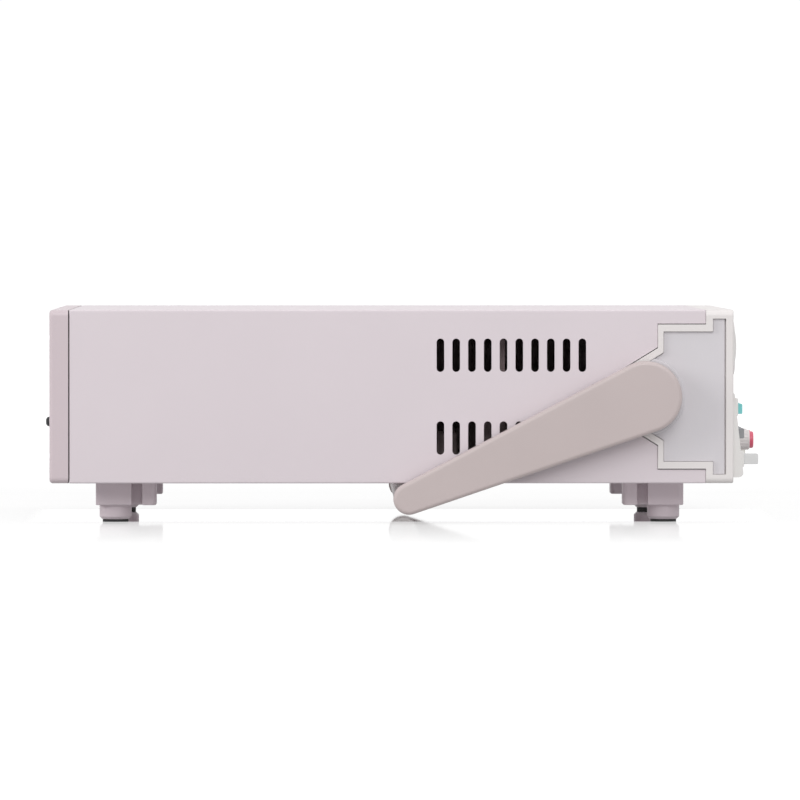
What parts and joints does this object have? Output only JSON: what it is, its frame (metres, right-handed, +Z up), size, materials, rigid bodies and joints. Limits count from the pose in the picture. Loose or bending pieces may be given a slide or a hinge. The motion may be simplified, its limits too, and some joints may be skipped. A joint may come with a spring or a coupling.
{
  "type": "function generator",
  "caption": "Bench function generator: low steel case between moulded bezels, sloping key panel with display, knobs and sockets, and a swinging handle-stand.",
  "frame": {"origin": "under the middle of the object's box, on the plane that the feet stand on", "axes": "+Z up, the front panel faces -Y, +X to the right of a user who faces the front panel"},
  "size_m": [0.2648, 0.3694, 0.1084],
  "materials": {
    "case_paint": "light grey powder paint, satin, fine texture",
    "bezel_plastic": "moulded, fine texture",
    "rear_plastic": "moulded, fine texture",
    "trim_plastic": "moulded, fine texture",
    "panel_plastic": "moulded, fine texture",
    "rear_steel": "grey paint, satin",
    "window_acrylic": "grey-edged clear acrylic, polished",
    "display_glass": "dark unlit display",
    "circuit_board": "green solder mask",
    "black_plastic": "moulded, slightly glossy",
    "knob_plastic": "moulded, satin",
    "red_plastic": "moulded, semi-gloss",
    "teal_key": "silky moulded",
    "grey_key": "silky moulded",
    "button_plastic": "satin moulded",
    "bright_steel": "zinc plated",
    "nickel": "nickel plated, polished",
    "handle_plastic": "moulded, fine texture",
    "foot_plastic": "moulded, fine texture",
    "black_rubber": "dull",
    "component_epoxy": "moulded packages and cans",
    "core_steel": "varnished laminations",
    "coil_tape": "polyester tape"
  },
  "bodies": {
    "case": {"top_cover": "case_paint", "bottom_cover": "case_paint", "front_bezel": "bezel_plastic", "rear_bezel": "rear_plastic", "left_side_trim": "trim_plastic", "right_side_trim": "trim_plastic", "front_panel": "panel_plastic", "rear_panel": "rear_steel", "display_window": "window_acrylic", "display_module": "display_glass", "control_board": "circuit_board", "key_switches": "black_plastic", "tuning_encoder": "bright_steel", "knob_pots": "bright_steel", "power_switch": "black_plastic", "sync_jack": "nickel", "output_jack": "nickel", "rear_jack": "nickel", "jack_nuts": "nickel", "mains_inlet": "black_plastic", "ground_terminal": "black_plastic", "handle_pivots": "bright_steel", "front_left_foot": "foot_plastic", "front_right_foot": "foot_plastic", "rear_left_foot": "foot_plastic", "rear_right_foot": "foot_plastic", "foot_pads": "black_rubber", "foot_screws": "bright_steel", "case_screws": "bright_steel", "main_board": "circuit_board", "board_parts": "component_epoxy", "power_board": "circuit_board", "transformer_core": "core_steel", "transformer_coil": "coil_tape"},
    "handle": {"handle_left_arm": "handle_plastic", "handle_right_arm": "handle_plastic", "handle_grip": "handle_plastic"},
    "tuning": {"tuning_knob": "knob_plastic", "tuning_shaft": "bright_steel"},
    "amplitude": {"amplitude_knob": "knob_plastic", "amplitude_knob_cap": "red_plastic"},
    "offset": {"offset_knob": "knob_plastic", "offset_knob_cap": "red_plastic"},
    "power": {"power_button": "button_plastic"},
    "fuse": {"fuse_drawer": "black_plastic"},
    "function_key_1_body": {"function_key_1": "teal_key"},
    "function_key_2_body": {"function_key_2": "teal_key"},
    "function_key_3_body": {"function_key_3": "teal_key"},
    "function_key_4_body": {"function_key_4": "teal_key"},
    "function_key_5_body": {"function_key_5": "teal_key"},
    "menu_key_1_body": {"menu_key_1": "grey_key"},
    "menu_key_2_body": {"menu_key_2": "grey_key"},
    "menu_key_3_body": {"menu_key_3": "grey_key"},
    "menu_key_4_body": {"menu_key_4": "grey_key"},
    "menu_key_5_body": {"menu_key_5": "grey_key"},
    "menu_key_6_body": {"menu_key_6": "grey_key"},
    "menu_key_7_body": {"menu_key_7": "grey_key"},
    "menu_key_8_body": {"menu_key_8": "grey_key"},
    "left_arrow_key_body": {"left_arrow_key": "grey_key"},
    "right_arrow_key_body": {"right_arrow_key": "grey_key"}
  },
  "joints": [
    {"name": "handle_swing", "type": "hinge", "parent": "case", "child": "handle", "pos_m": [0, -0.1232, 0.0644], "axis": [-1, 0, 0], "range_deg": [0, 312]},
    {"name": "tuning_turn", "type": "hinge", "parent": "case", "child": "tuning", "pos_m": [0.082, -0.1728, 0.086], "axis": [0, 1, 0], "continuous": true},
    {"name": "amplitude_turn", "type": "hinge", "parent": "case", "child": "amplitude", "pos_m": [0.008, -0.1728, 0.0392], "axis": [0, 1, 0], "range_deg": [-140, 140]},
    {"name": "offset_turn", "type": "hinge", "parent": "case", "child": "offset", "pos_m": [0.034, -0.1728, 0.0392], "axis": [0, 1, 0], "range_deg": [-140, 140]},
    {"name": "power_press", "type": "slide", "parent": "case", "child": "power", "axis": [0, 1, 0], "range_m": [0, 0.0035], "stiffness_N_per_m": 800, "springref_m": -0.0005},
    {"name": "fuse_pull", "type": "slide", "parent": "case", "child": "fuse", "axis": [0, 1, 0], "range_m": [0, 0.018]},
    {"name": "function_key_1_press", "type": "slide", "parent": "case", "child": "function_key_1_body", "axis": [0, 1, 0], "range_m": [0, 0.001], "stiffness_N_per_m": 600, "springref_m": -0.0005},
    {"name": "function_key_2_press", "type": "slide", "parent": "case", "child": "function_key_2_body", "axis": [0, 1, 0], "range_m": [0, 0.001], "stiffness_N_per_m": 600, "springref_m": -0.0005},
    {"name": "function_key_3_press", "type": "slide", "parent": "case", "child": "function_key_3_body", "axis": [0, 1, 0], "range_m": [0, 0.001], "stiffness_N_per_m": 600, "springref_m": -0.0005},
    {"name": "function_key_4_press", "type": "slide", "parent": "case", "child": "function_key_4_body", "axis": [0, 1, 0], "range_m": [0, 0.001], "stiffness_N_per_m": 600, "springref_m": -0.0005},
    {"name": "function_key_5_press", "type": "slide", "parent": "case", "child": "function_key_5_body", "axis": [0, 1, 0], "range_m": [0, 0.001], "stiffness_N_per_m": 600, "springref_m": -0.0005},
    {"name": "menu_key_1_press", "type": "slide", "parent": "case", "child": "menu_key_1_body", "axis": [0, 1, 0], "range_m": [0, 0.001], "stiffness_N_per_m": 600, "springref_m": -0.0005},
    {"name": "menu_key_2_press", "type": "slide", "parent": "case", "child": "menu_key_2_body", "axis": [0, 1, 0], "range_m": [0, 0.001], "stiffness_N_per_m": 600, "springref_m": -0.0005},
    {"name": "menu_key_3_press", "type": "slide", "parent": "case", "child": "menu_key_3_body", "axis": [0, 1, 0], "range_m": [0, 0.001], "stiffness_N_per_m": 600, "springref_m": -0.0005},
    {"name": "menu_key_4_press", "type": "slide", "parent": "case", "child": "menu_key_4_body", "axis": [0, 1, 0], "range_m": [0, 0.001], "stiffness_N_per_m": 600, "springref_m": -0.0005},
    {"name": "menu_key_5_press", "type": "slide", "parent": "case", "child": "menu_key_5_body", "axis": [0, 1, 0], "range_m": [0, 0.001], "stiffness_N_per_m": 600, "springref_m": -0.0005},
    {"name": "menu_key_6_press", "type": "slide", "parent": "case", "child": "menu_key_6_body", "axis": [0, 1, 0], "range_m": [0, 0.001], "stiffness_N_per_m": 600, "springref_m": -0.0005},
    {"name": "menu_key_7_press", "type": "slide", "parent": "case", "child": "menu_key_7_body", "axis": [0, 1, 0], "range_m": [0, 0.001], "stiffness_N_per_m": 600, "springref_m": -0.0005},
    {"name": "menu_key_8_press", "type": "slide", "parent": "case", "child": "menu_key_8_body", "axis": [0, 1, 0], "range_m": [0, 0.001], "stiffness_N_per_m": 600, "springref_m": -0.0005},
    {"name": "left_arrow_key_press", "type": "slide", "parent": "case", "child": "left_arrow_key_body", "axis": [0, 1, 0], "range_m": [0, 0.001], "stiffness_N_per_m": 600, "springref_m": -0.0005},
    {"name": "right_arrow_key_press", "type": "slide", "parent": "case", "child": "right_arrow_key_body", "axis": [0, 1, 0], "range_m": [0, 0.001], "stiffness_N_per_m": 600, "springref_m": -0.0005}
  ]
}
